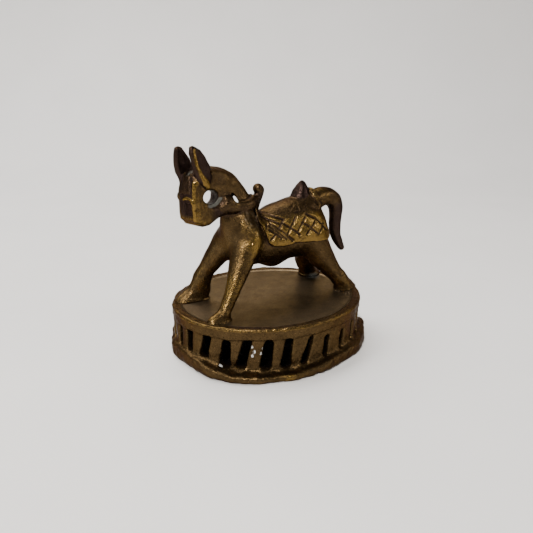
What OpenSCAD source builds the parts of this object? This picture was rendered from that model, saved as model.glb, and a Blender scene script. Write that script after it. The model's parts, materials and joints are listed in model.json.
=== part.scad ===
// A small cast bronze horse, saddled and bridled, on an oval drum base with an openwork wall.
// +X runs from the horse's head to its tail, +Z is up, and the origin is the middle of the
// underside of the base. All sizes are in millimetres.

/* [Base] */
// Length of the top plate, along the horse
plate_length = 82; // [78:1:90]
// Width of the top plate, across the horse
plate_width = 72; // [68:1:80]
// Height of the whole drum, up to the rim of the plate
base_height = 19.5; // [17:0.5:24]
// How far the foot ring stands out past the wall
foot_flare = 2.6; // [2:0.1:4]
// Height of the solid band round the top of the wall
band_height = 3.5; // [3:0.1:5]
// Height of the lip of the foot ring
lip_height = 3.6; // [3:0.1:4.2]
// Number of wall posts
post_count = 30; // [30:1:30]
// Width of a wall post at its top
post_width = 4.6; // [4:0.1:5.4]

/* [Horse] */
// Thickness of the saddle cloth
cloth_thickness = 0.9; // [0.6:0.1:1.4]
// How far the head is turned to the horse's left, in degrees
head_turn = 12; // [0:1:20]
// Half the distance between the front feet
front_stance = 13.5; // [11:0.5:15]
// How far out the left hind foot stands
left_hind_stance = 10.5; // [9:0.5:13]
// How far out the right hind foot stands
right_hind_stance = 13.5; // [11:0.5:15]
// Number of sides on the round parts
sides = 20; // [16:4:32]

/* [Hidden] */
POST_NAMES = [for (i = [1:30]) str("base_post_", i < 10 ? "0" : "", i)];

bronze = "#6b4f2a";
dark_bronze = "#4a372c";
bright_bronze = "#8a6a2c";
grey_bronze = "#5c5040";

LEFT = -1;
RIGHT = 1;
plate_a = plate_length / 2;
plate_b = plate_width / 2;
rim_width = 1.6;
rim_rise = 0.3;
plate_top = base_height - rim_rise;
plate_thickness = 2.2;
band_bottom = base_height - band_height;
floor_inset = 3;
floor_height = 4.4;
step_inset = 1.6;
post_depth = 2.4;
post_taper = 1.5;
thin = 0.02;

// ---- helpers -------------------------------------------------------------------------------

function oval(a, b, n = 96) = [for (i = [0:n - 1]) [a * cos(360 * i / n), b * sin(360 * i / n)]];

module oval_slab(a, b, low, high) {
    translate([0, 0, low]) linear_extrude(height = high - low) polygon(oval(a, b));
}

module oval_ring(outer_a, outer_b, width, low, high) {
    translate([0, 0, low]) linear_extrude(height = high - low) difference() {
        polygon(oval(outer_a, outer_b));
        polygon(oval(outer_a - width, outer_b - width));
    }
}

// A body lofted through round slices: [x, y, z, pitch, radius along the pitch, radius across].
module slice(s, grow) {
    translate([s[0], s[1], s[2]]) rotate([0, s[3], 0])
        scale([s[4] + grow, s[5] + grow, 1])
            cylinder(r = 1, h = thin, center = true, $fn = sides);
}

module loft(slices, grow = 0) {
    for (i = [0:len(slices) - 2]) hull() {
        slice(slices[i], grow);
        slice(slices[i + 1], grow);
    }
}

// A limb drawn through balls: [x, y, z, radius].
module limb(balls, flat = 1) {
    for (i = [0:len(balls) - 2]) hull() {
        for (b = [balls[i], balls[i + 1]])
            translate([b[0], b[1], b[2]]) scale([1, flat, 1]) sphere(r = b[3], $fn = sides - 4);
    }
}

module on_plate() {
    translate([0, 0, plate_top]) children();
}

// ---- base ----------------------------------------------------------------------------------

module base_floor_plate() {
    color(bronze) oval_slab(plate_a - floor_inset, plate_b - floor_inset, 0, floor_height);
}

module base_foot_ring() {
    ring_a = plate_a + foot_flare;
    ring_b = plate_b + foot_flare;
    ring_width = foot_flare + floor_inset;
    color(bronze) union() {
        oval_ring(ring_a, ring_b, ring_width, 0, lip_height);
        oval_ring(ring_a - step_inset, ring_b - step_inset, ring_width - step_inset,
                  lip_height, floor_height);
    }
}

module base_rim_band() {
    color(bright_bronze) union() {
        oval_ring(plate_a, plate_b, rim_width, band_bottom, base_height);
    }
}

module base_top_plate() {
    color(grey_bronze)
        oval_slab(plate_a - rim_width, plate_b - rim_width, plate_top - plate_thickness, plate_top);
}

module post_slab(turn, inset, width, z) {
    angle = atan2(sin(turn) / plate_b, cos(turn) / plate_a);
    translate([(plate_a - inset) * cos(turn), (plate_b - inset) * sin(turn), z])
        rotate([0, 0, angle]) cube([post_depth, width, thin], center = true);
}

// Posts lean a little and thin towards the foot, each by its own amount.
module base_post(i) {
    turn = (i + 0.5) * 360 / post_count;
    lean = 2.2 * sin(i * 67);
    color(bronze) hull() {
        post_slab(turn, 1.3, post_width, band_bottom - thin / 2);
        post_slab(turn + lean, 1.0, post_width - post_taper + 0.5 * cos(i * 51),
                  floor_height + thin / 2);
    }
}

// ---- horse, measured up from the top plate -------------------------------------------------

torso_slices = [
    [-20.6, 0, 27.6, 90, 2.0, 2.4],
    [-20.0, 0, 27.4, 90, 5.2, 4.8],
    [-18.0, 0, 27.2, 90, 8.2, 7.2],
    [-13.5, 0, 26.6, 90, 10.2, 9.0],
    [-7.0, 0, 25.8, 90, 10.8, 9.4],
    [-2.3, 0, 25.7, 90, 11.0, 9.2],
    [3.5, 0, 26.2, 90, 11.4, 9.0],
    [10.0, 0, 27.4, 90, 12.1, 9.2],
    [16.0, 0, 28.0, 90, 12.2, 9.4],
    [20.5, 0, 27.6, 90, 11.0, 9.2],
    [24.2, 0, 26.6, 90, 8.8, 8.2],
    [26.8, 0, 25.4, 90, 5.8, 6.0],
    [28.0, 0, 24.8, 90, 2.4, 2.8]];

neck_slices = [
    [-11.6, 0, 27.0, 12, 8.4, 7.2],
    [-12.4, 0, 33.0, 8, 8.0, 6.6],
    [-13.4, 0, 38.0, 0, 6.8, 5.8],
    [-13.8, 0, 42.0, -24, 4.9, 5.0],
    [-16.2, 0, 46.0, -44, 4.3, 4.4],
    [-19.6, 0, 49.2, -64, 4.5, 4.2],
    [-23.6, 0, 50.8, -84, 4.9, 4.2],
    [-28.0, 0, 50.8, -96, 4.6, 4.0]];

module torso_solid(grow = 0) {
    loft(torso_slices, grow);
    // Belly swelling behind the forelegs
    translate([1, 0, 17.2]) scale([1, 0.8, 0.8]) sphere(r = 5 + grow, $fn = sides);
}

// The slit between the reins and the underside of the neck
module throat_slit() {
    translate([-15.8, 0, 43.6]) rotate([0, -28, 0]) scale([0.42, 1, 1]) rotate([90, 0, 0])
        cylinder(r = 1.7, h = 20, center = true, $fn = sides);
}

module neck_solid(grow = 0) {
    difference() {
        loft(neck_slices, grow);
        throat_slit();
    }
}

// The head turns about the poll.
module turned() {
    translate([-24, 0, 0]) rotate([0, 0, head_turn]) translate([24, 0, 0]) children();
}

module head_ball(x, y, z, r, grow) {
    translate([x, y, z]) scale([1, 0.92, 1]) sphere(r = r + grow, $fn = sides);
}

module head_block(grow) {
    hull() for (side = [LEFT, RIGHT]) {
        head_ball(-33.6, side * 1.6, 52.4, 3.0, grow);
        head_ball(-27.0, side * 0.8, 51.4, 4.4, grow);
        head_ball(-34.0, side * 2.0, 45.0, 3.0, grow);
        head_ball(-33.4, side * 1.6, 39.4, 3.4, grow);
        head_ball(-31.2, side * 1.2, 38.6, 3.2, grow);
        head_ball(-22.8, side * 1.6, 41.4, 3.4, grow);
    }
}

eye_x = -29.2;
eye_z = 45.6;

module eye_hole() {
    for (side = [LEFT, RIGHT]) translate([eye_x, 0, eye_z]) scale([1.25, 1, 1])
        rotate([side * -90, 0, 0]) cylinder(r1 = 1.9, r2 = 3.0, h = 9, $fn = sides);
}

// The head without its eye hole, for cutting the pieces that meet it
module head_mass() {
    turned() head_block(0);
}

module head_solid(grow = 0) {
    turned() difference() {
        head_block(grow);
        eye_hole();
    }
}

function foreleg(side) = [
    [-13.8, side * 5.2, 25.0, 5.6],
    [-16.4, side * 6.8, 20.6, 5.0],
    [-19.4, side * 8.6, 16.4, 4.2],
    [-22.0, side * 10.2, 12.6, 3.4],
    [-24.0, side * 11.2, 9.4, 3.0],
    [-26.0, side * 12.0, 6.4, 2.8],
    [-28.0, side * (front_stance - 0.6), 3.6, 2.9],
    [-29.8, side * front_stance, 1.4, 3.1],
    [-33.8, side * front_stance, 0.4, 2.0]];

function hindleg(side, stance) = [
    [17.6, side * 3.4, 24.6, 6.4],
    [20.2, side * 4.6, 20.6, 6.2],
    [22.6, side * (2.4 + 0.38 * stance), 16.8, 5.6],
    [24.8, side * (1.6 + 0.54 * stance), 13.0, 4.8],
    [27.0, side * (1.0 + 0.70 * stance), 9.6, 4.1],
    [29.2, side * (0.4 + 0.84 * stance), 6.6, 3.6],
    [31.2, side * 0.95 * stance, 3.8, 3.4],
    [32.8, side * stance, 1.6, 3.5],
    [35.4, side * stance, 0.4, 2.2]];

tail_balls = [
    [20.4, 0, 36.4, 4.2],
    [23.4, 0, 38.6, 4.0],
    [26.6, 0, 40.2, 3.9],
    [29.8, 0, 40.3, 3.8],
    [33.0, 0, 38.6, 3.6],
    [35.4, 0, 35.2, 3.5],
    [35.9, 0, 31.0, 3.0],
    [35.5, 0, 26.4, 2.8],
    [36.0, 0, 22.6, 2.5],
    [37.8, 0, 18.6, 2.0],
    [39.6, 0, 15.8, 1.4]];

// Keeps what stands on the plate, on one side of the horse.
module standing(side) {
    difference() {
        intersection() {
            children();
            translate([-60, min(0, side * 60), 0]) cube([120, 60, 90]);
        }
        translate([0, 0, -plate_top])
            oval_ring(plate_a, plate_b, rim_width, band_bottom, base_height);
    }
}

module horse_torso() {
    color(bronze) on_plate() torso_solid();
}

module horse_neck() {
    color(bronze) on_plate() difference() {
        neck_solid();
        torso_solid();
        head_mass();
    }
}

module horse_head() {
    color(bronze) on_plate() difference() {
        head_solid();
        torso_solid();
    }
}

module leg(balls, side) {
    color(bright_bronze) on_plate() difference() {
        standing(side) limb(balls);
        torso_solid();
        neck_solid();
        cloth_solid();
    }
}

module foreleg_left() { leg(foreleg(LEFT), LEFT); }
module foreleg_right() { leg(foreleg(RIGHT), RIGHT); }
module hindleg_left() { leg(hindleg(LEFT, left_hind_stance), LEFT); }
module hindleg_right() { leg(hindleg(RIGHT, right_hind_stance), RIGHT); }

module horse_tail() {
    color(dark_bronze) on_plate() difference() {
        limb(tail_balls);
        torso_solid();
        cloth_solid();
    }
}

ear_slices = [
    [-32.4, 4.3, 49.6, 1.2, 1.0],
    [-32.2, 4.4, 51.6, 2.6, 1.6],
    [-32.5, 4.4, 54.2, 3.4, 1.8],
    [-33.2, 4.2, 57.2, 3.6, 1.8],
    [-34.2, 4.0, 59.8, 3.3, 1.7],
    [-35.3, 3.8, 62.1, 2.4, 1.4],
    [-36.0, 3.7, 63.8, 1.1, 0.8]];

module ear_shape(side) {
    for (i = [0:len(ear_slices) - 2]) hull() for (k = [i, i + 1]) {
        s = ear_slices[k];
        translate([s[0], side * s[1], s[2]]) rotate([0, -20, side * 20])
            scale([s[3], s[4], 1]) cylinder(r = 1, h = 0.3, center = true, $fn = sides);
    }
}

module ear(side) {
    color(dark_bronze) on_plate() difference() {
        turned() ear_shape(side);
        head_mass();
        neck_solid();
    }
}

module ear_left() { ear(LEFT); }
module ear_right() { ear(RIGHT); }

// ---- saddle --------------------------------------------------------------------------------

cloth_outline = [
    [-12.0, 42.0], [-12.0, 38.0], [-9.6, 33.0], [-6.8, 27.4], [-5.0, 24.6], [-3.2, 23.9],
    [5.0, 24.7], [14.0, 25.0], [24.5, 25.2], [27.0, 26.6], [27.2, 29.0], [23.0, 36.0],
    [20.0, 43.0]];

module cloth_solid() {
    intersection() {
        torso_solid(cloth_thickness);
        rotate([90, 0, 0]) linear_extrude(height = 40, center = true) polygon(cloth_outline);
        translate([-40, -30, 20]) cube([80, 60, 40]);
    }
}

module saddle_cloth() {
    color(bright_bronze) on_plate() difference() {
        cloth_solid();
        torso_solid();
        neck_solid();
    }
}

module cantle_solid() {
    hull() {
        for (side = [LEFT, RIGHT])
            translate([14.8, side * 6.4, 37.0]) sphere(r = 1.6, $fn = sides);
        for (side = [LEFT, RIGHT])
            translate([16.6, side * 3.6, 41.4]) sphere(r = 1.5, $fn = sides);
        translate([11.4, 0, 39.2]) sphere(r = 1.4, $fn = sides);
        translate([16.9, 0, 45.5]) sphere(r = 1.4, $fn = sides);
        translate([20.4, 0, 41.6]) sphere(r = 1.4, $fn = sides);
    }
}

module saddle_cantle() {
    color(dark_bronze) on_plate() difference() {
        cantle_solid();
        cloth_solid();
        torso_solid();
        limb(tail_balls);
    }
}

pommel_balls = [
    [-7.6, 0, 38.0, 3.0],
    [-7.0, 0, 40.4, 2.6],
    [-6.0, 0, 42.2, 2.2],
    [-5.2, 0, 43.8, 2.1],
    [-4.8, 0, 45.0, 2.2],
    [-4.8, 0, 46.0, 2.2]];

module saddle_pommel() {
    color(dark_bronze) on_plate() difference() {
        limb(pommel_balls);
        cloth_solid();
        torso_solid();
        neck_solid();
    }
}

module crupper_solid() {
    hull() for (side = [LEFT, RIGHT]) {
        translate([20.4, side * 4.0, 39.0]) sphere(r = 1.6, $fn = sides);
        translate([23.6, side * 4.4, 36.6]) sphere(r = 1.6, $fn = sides);
    }
}

module crupper_strap() {
    color(bright_bronze) on_plate() difference() {
        crupper_solid();
        cantle_solid();
        cloth_solid();
        torso_solid();
        limb(tail_balls);
    }
}

module girth_tab(side) {
    color(grey_bronze) on_plate() difference() {
        intersection() {
            union() {
                torso_solid(0.8);
                neck_solid(0.8);
            }
            hull() {
                translate([-13.6, side * 12, 36.4]) rotate([90, 0, 0])
                    cylinder(r = 1.6, h = 12, center = true, $fn = sides);
                translate([-10.6, side * 12, 36.4]) rotate([90, 0, 0])
                    cylinder(r = 1.2, h = 12, center = true, $fn = sides);
                translate([-12.4, side * 12, 31.6]) rotate([90, 0, 0])
                    cylinder(r = 2.2, h = 12, center = true, $fn = sides);
            }
        }
        torso_solid();
        neck_solid();
        cloth_solid();
        rein_solid(side);
    }
}

module girth_tab_left() { girth_tab(LEFT); }
module girth_tab_right() { girth_tab(RIGHT); }

// ---- bridle --------------------------------------------------------------------------------

function rein(side) = [
    [-23.4, side * 5.0, 41.2],
    [-20.0, side * 5.6, 40.6],
    [-17.0, side * 5.9, 40.4],
    [-14.0, side * 5.8, 40.6],
    [-11.0, side * 5.0, 41.2],
    [-8.4, side * 3.0, 41.6]];

module rein_solid(side) {
    run = rein(side);
    for (i = [0:len(run) - 2]) hull() for (p = [run[i], run[i + 1]])
        translate(p) scale([1, 0.6, 1]) sphere(r = 2.1, $fn = sides - 4);
}

module rein_strap(side) {
    color(bronze) on_plate() difference() {
        rein_solid(side);
        neck_solid();
        torso_solid();
        head_mass();
        cloth_solid();
        limb(pommel_balls);
    }
}

module rein_left() { rein_strap(LEFT); }
module rein_right() { rein_strap(RIGHT); }

strap_rise = 0.7;

// A strap is the skin of the head inside a slab.
module head_strap() {
    color(bright_bronze) on_plate() difference() {
        intersection() {
            head_solid(strap_rise);
            turned() children();
        }
        head_solid();
        neck_solid();
        for (side = [LEFT, RIGHT]) turned() ear_shape(side);
    }
}

module noseband_slab() {
    translate([-39, -9, 42.6]) cube([6.4, 18, 2.4]);
}

module browband_slab() {
    translate([-39, -4.2, 51.6]) cube([9, 8.4, 2.0]);
}

module bridle_noseband() { head_strap() noseband_slab(); }
module bridle_browband() { head_strap() browband_slab(); }

module cheek_strap(side) {
    color(bright_bronze) on_plate() difference() {
        intersection() {
            head_solid(strap_rise);
            turned() translate([-34.6, side * 6.2, 44.4]) cube([2.8, 6.0, 17], center = true);
        }
        head_solid();
        neck_solid();
        turned() noseband_slab();
        turned() browband_slab();
        turned() ear_shape(side);
    }
}

module bridle_cheek_left() { cheek_strap(LEFT); }
module bridle_cheek_right() { cheek_strap(RIGHT); }

module bit_boss_right() {
    color(grey_bronze) on_plate() difference() {
        turned() translate([-34.8, 5.4, 45.2]) sphere(r = 1.3, $fn = 32);
        head_solid(strap_rise);
    }
}

// ---- the whole object ----------------------------------------------------------------------

base_floor_plate();
base_foot_ring();
base_rim_band();
base_top_plate();
for (i = [0:post_count - 1])
    base_post(i);
horse_torso();
horse_neck();
horse_head();
ear_left();
ear_right();
foreleg_left();
foreleg_right();
hindleg_left();
hindleg_right();
horse_tail();
saddle_cloth();
saddle_cantle();
saddle_pommel();
crupper_strap();
girth_tab_left();
girth_tab_right();
rein_left();
rein_right();
bridle_noseband();
bridle_browband();
bridle_cheek_left();
bridle_cheek_right();
bit_boss_right();
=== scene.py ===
"""A small cast bronze horse on an openwork drum base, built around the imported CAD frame.

Lengths are in millimetres, with the same axes as the CAD, until a mesh is made in metres.
Every piece is a distance field on a shared grid: pieces blend where the wax was smoothed
together, and each is then meshed on its own.
"""
import json
import math

import bpy
import numpy as np
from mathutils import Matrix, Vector


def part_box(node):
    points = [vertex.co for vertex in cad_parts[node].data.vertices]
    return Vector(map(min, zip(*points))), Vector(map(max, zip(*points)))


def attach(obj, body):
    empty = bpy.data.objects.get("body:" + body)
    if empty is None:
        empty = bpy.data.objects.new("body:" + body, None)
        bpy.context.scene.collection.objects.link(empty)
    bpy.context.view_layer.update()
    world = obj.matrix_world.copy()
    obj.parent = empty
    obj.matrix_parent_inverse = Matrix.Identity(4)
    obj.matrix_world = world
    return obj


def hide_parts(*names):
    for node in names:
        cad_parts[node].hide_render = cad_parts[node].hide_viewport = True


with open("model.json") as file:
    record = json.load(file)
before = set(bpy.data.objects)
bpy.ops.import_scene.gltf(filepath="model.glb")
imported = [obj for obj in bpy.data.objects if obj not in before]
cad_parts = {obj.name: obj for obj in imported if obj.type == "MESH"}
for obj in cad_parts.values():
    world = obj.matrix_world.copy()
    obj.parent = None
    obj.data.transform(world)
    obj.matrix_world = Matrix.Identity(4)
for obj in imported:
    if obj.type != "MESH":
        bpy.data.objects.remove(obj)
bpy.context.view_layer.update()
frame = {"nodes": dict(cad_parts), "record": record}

MM = 0.001
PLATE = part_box("base_top_plate")[1].z / MM
PLATE_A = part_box("base_rim_band")[1].x / MM
PLATE_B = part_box("base_rim_band")[1].y / MM
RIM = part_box("base_rim_band")[1].z / MM
POSTS = sum(name.startswith("base_post_") for name in frame["nodes"])
FAR = 6.0
STEP = 0.3
# How far a piece runs on past its border, and how far it dips under its neighbour there.
OVERLAP = 0.7
SINK = 0.12
SPAN_STEPS = 5
# The horse's left is toward -Y.
SIDES = {"left": -1, "right": 1}
FLOOR = 0.05


# ---- distance fields ------------------------------------------------------------------------

def smooth_min(a, b, blend):
    h = np.maximum(blend - np.abs(a - b), 0) / blend
    return np.minimum(a, b) - h * h * blend * 0.25


def smooth_max(a, b, blend):
    return -smooth_min(-a, -b, blend)


def step_between(low, high, v):
    t = np.clip((v - low) / (high - low), 0, 1)
    return t * t * (3 - 2 * t)


def curve(points):
    """Points along a Catmull-Rom curve through the given rows, whatever each row holds."""
    p = np.array(points, float)
    p = np.vstack([2 * p[0] - p[1], p, 2 * p[-1] - p[-2]])
    out = []
    for i in range(1, len(p) - 2):
        for t in np.arange(SPAN_STEPS) / SPAN_STEPS:
            a, b, c, d = p[i - 1], p[i], p[i + 1], p[i + 2]
            out.append(0.5 * (2 * b + (c - a) * t + (2 * a - 5 * b + 4 * c - d) * t * t
                              + (3 * b - a - 3 * c + d) * t ** 3))
    out.append(p[-2])
    return np.array(out, np.float32)


def strand(points, flat=(1, 1, 1)):
    """A rod through [x, y, z, radius] rows, squeezed by flat along each axis."""
    rows = curve(points)
    squeeze = np.array(flat, np.float32)
    low = (rows[:, :3] - rows[:, 3:] * squeeze).min(0)
    high = (rows[:, :3] + rows[:, 3:] * squeeze).max(0)

    def field(x, y, z):
        best = None
        p = [v / s for v, s in zip((x, y, z), squeeze)]
        for a, b in zip(rows[:-1], rows[1:]):
            start, run = a[:3] / squeeze, (b[:3] - a[:3]) / squeeze
            away = [v - s for v, s in zip(p, start)]
            t = sum(v * r for v, r in zip(away, run)) / max(float(run @ run), 1e-6)
            t = np.clip(t, 0, 1)
            gap = np.sqrt(sum((v - t * r) ** 2 for v, r in zip(away, run)))
            gap = (gap - (a[3] + t * (b[3] - a[3]))).astype(np.float32)
            best = gap if best is None else np.minimum(best, gap)
        return best * float(squeeze.min())
    return low, high, field


def outline(u, v, points):
    """Signed distance from (u, v) to a closed outline."""
    p = np.array(points, float)
    best, inside = None, None
    for a, b in zip(p, np.roll(p, -1, 0)):
        run = b - a
        t = np.clip(((u - a[0]) * run[0] + (v - a[1]) * run[1]) / (run @ run), 0, 1)
        gap = np.hypot(u - a[0] - t * run[0], v - a[1] - t * run[1])
        crosses = ((a[1] > v) != (b[1] > v)) & (u < a[0] + (v - a[1]) * run[0] / (run[1] or 1e-9))
        best = gap if best is None else np.minimum(best, gap)
        inside = crosses if inside is None else inside ^ crosses
    return np.where(inside, -best, best)


def line_gap(u, v, a, b):
    """Distance from (u, v) to the segment from a to b."""
    ru, rv = b[0] - a[0], b[1] - a[1]
    t = np.clip(((u - a[0]) * ru + (v - a[1]) * rv) / (ru * ru + rv * rv), 0, 1)
    return np.hypot(u - a[0] - t * ru, v - a[1] - t * rv)


def egg(x, y, z, centre, radii):
    """An ellipsoid's approximate distance."""
    parts = [(v - c) / r for v, c, r in zip((x, y, z), centre, radii)]
    return (np.sqrt(sum(p * p for p in parts)) - 1) * min(radii)


def lattice(axes, size, seed):
    """Smooth noise from -1 to 1 on a grid, with lumps about size across."""
    rng = np.random.default_rng(seed)
    weights, counts = [], []
    for axis in axes:
        at = (axis - axis[0]) / size
        n = int(at[-1]) + 2
        w = np.zeros((len(axis), n), np.float32)
        cell = at.astype(int)
        t = at - cell
        t = t * t * (3 - 2 * t)
        w[np.arange(len(axis)), cell] = 1 - t
        w[np.arange(len(axis)), cell + 1] = t
        weights.append(w)
        counts.append(n)
    values = rng.uniform(-1, 1, counts).astype(np.float32)
    for axis_number, w in enumerate(weights):
        values = np.moveaxis(np.tensordot(w, values, axes=(1, axis_number)), 0, axis_number)
    return values


class Casting:
    """Named pieces on one grid, each a distance field, and the blended sum of them all."""

    def __init__(self, low, high):
        self.low = np.array(low, float)
        self.step = STEP
        counts = np.ceil((np.array(high) - self.low) / STEP).astype(int) + 1
        self.axes = [self.low[a] + STEP * np.arange(counts[a], dtype=np.float32) for a in range(3)]
        self.total = np.full(counts, FAR, np.float32)
        self.pieces = {}

    def block(self, low, high, margin=2.2):
        """The part of the grid round a box, and the coordinates of its points."""
        first = np.floor((np.array(low) - margin - self.low) / self.step).astype(int)
        last = np.ceil((np.array(high) + margin - self.low) / self.step).astype(int) + 1
        first = np.clip(first, 0, self.total.shape)
        last = np.clip(last, 0, self.total.shape)
        where = tuple(slice(a, b) for a, b in zip(first, last))
        x, y, z = (self.axes[a][where[a]] for a in range(3))
        return where, (x[:, None, None], y[None, :, None], z[None, None, :])

    def everywhere(self, values):
        """A shape over the whole grid, from values that are worked out already."""
        return self.low, self.low + self.step * np.array(self.total.shape), lambda x, y, z: values

    def label(self, name, shape):
        """Names a region as a piece without adding to the blended sum."""
        low, high, field = shape
        where, (x, y, z) = self.block(low, high)
        d = np.broadcast_to(field(x, y, z), self.total[where].shape).astype(np.float32)
        self.pieces.setdefault(name, []).append((where, d))
        return where, d

    def add(self, name, shape, blend=1.0):
        """Adds a shape to a named piece and to the blended sum."""
        where, d = self.label(name, shape)
        self.total[where] = smooth_min(self.total[where], d, blend)

    def fill(self, shape, blend=1.0):
        """Adds to the blended sum without naming a piece."""
        low, high, field = shape
        where, (x, y, z) = self.block(low, high)
        self.total[where] = smooth_min(self.total[where], field(x, y, z), blend).astype(np.float32)

    def skin(self, name, low, high, border, thickness, blend=0.35, depth=0.8):
        """A sheet of one thickness laid on what is there already, inside a border."""
        where, (x, y, z) = self.block(low, high)
        under = self.total[where].copy()
        d = smooth_max(under - thickness, border(x, y, z), 0.5)
        d = np.maximum(d, -(under + depth)).astype(np.float32)
        self.pieces.setdefault(name, []).append((where, d))
        self.total[where] = smooth_min(self.total[where], d, blend)

    def carve(self, shape, blend=0.4):
        """Takes a shape out of the blended sum, whichever piece it meets."""
        low, high, field = shape
        where, (x, y, z) = self.block(low, high)
        self.total[where] = smooth_max(self.total[where], -field(x, y, z), blend).astype(np.float32)

    def lift(self, amount):
        """Moves the whole surface out by amount, which may be an array over the grid."""
        self.total -= amount

    def piece_field(self, name, where):
        """The unblended field of one piece on a block."""
        d = np.full([s.stop - s.start for s in where], FAR, np.float32)
        for spot, values in self.pieces[name]:
            meet = [slice(max(a.start, b.start), min(a.stop, b.stop)) for a, b in zip(spot, where)]
            if all(m.stop > m.start for m in meet):
                mine = tuple(slice(m.start - a.start, m.stop - a.start) for m, a in zip(meet, where))
                theirs = tuple(slice(m.start - a.start, m.stop - a.start) for m, a in zip(meet, spot))
                d[mine] = np.minimum(d[mine], values[theirs])
        return d

    def solid(self, name):
        """The closed field of one piece. Past its border it dips under its neighbour."""
        spots = [spot for spot, _ in self.pieces[name]]
        where = tuple(slice(min(s[a].start for s in spots), max(s[a].stop for s in spots))
                      for a in range(3))
        mine = self.piece_field(name, where)
        others = np.full_like(mine, FAR)
        for other in self.pieces:
            if other != name:
                others = np.minimum(others, self.piece_field(other, where))
        past = mine - others
        sunk = self.total[where] + np.clip(past * 0.3, 0, SINK)
        field = np.maximum(sunk, past - OVERLAP)
        return where, np.pad(field, 1, constant_values=FAR)

    def sample(self, grid, p, every=1):
        """The value of a grid at points, by linear interpolation."""
        at = (p - self.low) / (self.step * every)
        at = np.clip(at, 0, np.array(grid.shape) - 1.001)
        cell = at.astype(int)
        t = at - cell
        out = 0
        for corner in range(8):
            o = [(corner >> a) & 1 for a in range(3)]
            w = np.prod([t[:, a] if o[a] else 1 - t[:, a] for a in range(3)], axis=0)
            out = out + w * grid[cell[:, 0] + o[0], cell[:, 1] + o[1], cell[:, 2] + o[2]]
        return out


def surface_net(field):
    """Points (in cells) and quads of the zero surface of a field, one point per crossed cell."""
    inside = field < 0
    corners = [inside[a:field.shape[0] - 1 + a, b:field.shape[1] - 1 + b, c:field.shape[2] - 1 + c]
               for a in (0, 1) for b in (0, 1) for c in (0, 1)]
    some = np.logical_or.reduce(corners)
    every = np.logical_and.reduce(corners)
    cells = np.argwhere(some & ~every)
    index = np.full(some.shape, -1, np.int32)
    index[tuple(cells.T)] = np.arange(len(cells))
    total = np.zeros((len(cells), 3))
    count = np.zeros(len(cells))
    offsets = [(a, b, c) for a in (0, 1) for b in (0, 1) for c in (0, 1)]
    value = {o: field[cells[:, 0] + o[0], cells[:, 1] + o[1], cells[:, 2] + o[2]] for o in offsets}
    for o in offsets:
        for axis in range(3):
            if o[axis]:
                continue
            q = tuple(1 if a == axis else o[a] for a in range(3))
            crossed = (value[o] < 0) != (value[q] < 0)
            t = np.where(crossed, value[o] / np.where(crossed, value[o] - value[q], 1), 0)
            point = np.array(o, float)[None, :] + np.zeros((len(cells), 1))
            point[:, axis] += t
            total += np.where(crossed[:, None], point, 0)
            count += crossed
    points = cells + total / count[:, None]
    quads = []
    for axis in range(3):
        b, c = [a for a in range(3) if a != axis]
        near = np.take(inside, range(field.shape[axis] - 1), axis)
        beyond = np.take(inside, range(1, field.shape[axis]), axis)
        edges = np.argwhere(near != beyond)
        edges = edges[(edges[:, b] > 0) & (edges[:, c] > 0)
                      & (edges[:, b] < some.shape[b]) & (edges[:, c] < some.shape[c])]
        ring = []
        for db, dc in ((0, 0), (-1, 0), (-1, -1), (0, -1)):
            at = edges.copy()
            at[:, b] += db
            at[:, c] += dc
            ring.append(index[tuple(at.T)])
        ring = np.stack(ring, 1)
        outward = near[tuple(edges.T)] == (axis != 1)
        quads.append(np.where(outward[:, None], ring, ring[:, ::-1]))
    return points, np.concatenate(quads)


def mesh_piece(name, points, quads, material, tones):
    """A mesh object in metres from points in millimetres, with a colour for each point."""
    mesh = bpy.data.meshes.new(name)
    mesh.vertices.add(len(points))
    mesh.vertices.foreach_set("co", (points * MM).astype(np.float32).ravel())
    mesh.loops.add(quads.size)
    mesh.loops.foreach_set("vertex_index", quads.astype(np.int32).ravel())
    mesh.polygons.add(len(quads))
    mesh.polygons.foreach_set("loop_start", np.arange(0, quads.size, 4, dtype=np.int32))
    mesh.update(calc_edges=True)
    mesh.validate()
    mesh.shade_smooth()
    layer = mesh.color_attributes.new("tone", "FLOAT_COLOR", "POINT")
    layer.data.foreach_set("color", np.clip(tones, 0, 1).astype(np.float32).ravel())
    mesh.materials.append(material)
    obj = bpy.data.objects.new(name, mesh)
    bpy.context.scene.collection.objects.link(obj)
    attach(obj, "root")
    return obj


# ---- horse, measured up from the top plate ---------------------------------------------------

HEAD_TURN = math.radians(12)
POLL_X = -24.0
FACE_Y = -0.8

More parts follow.
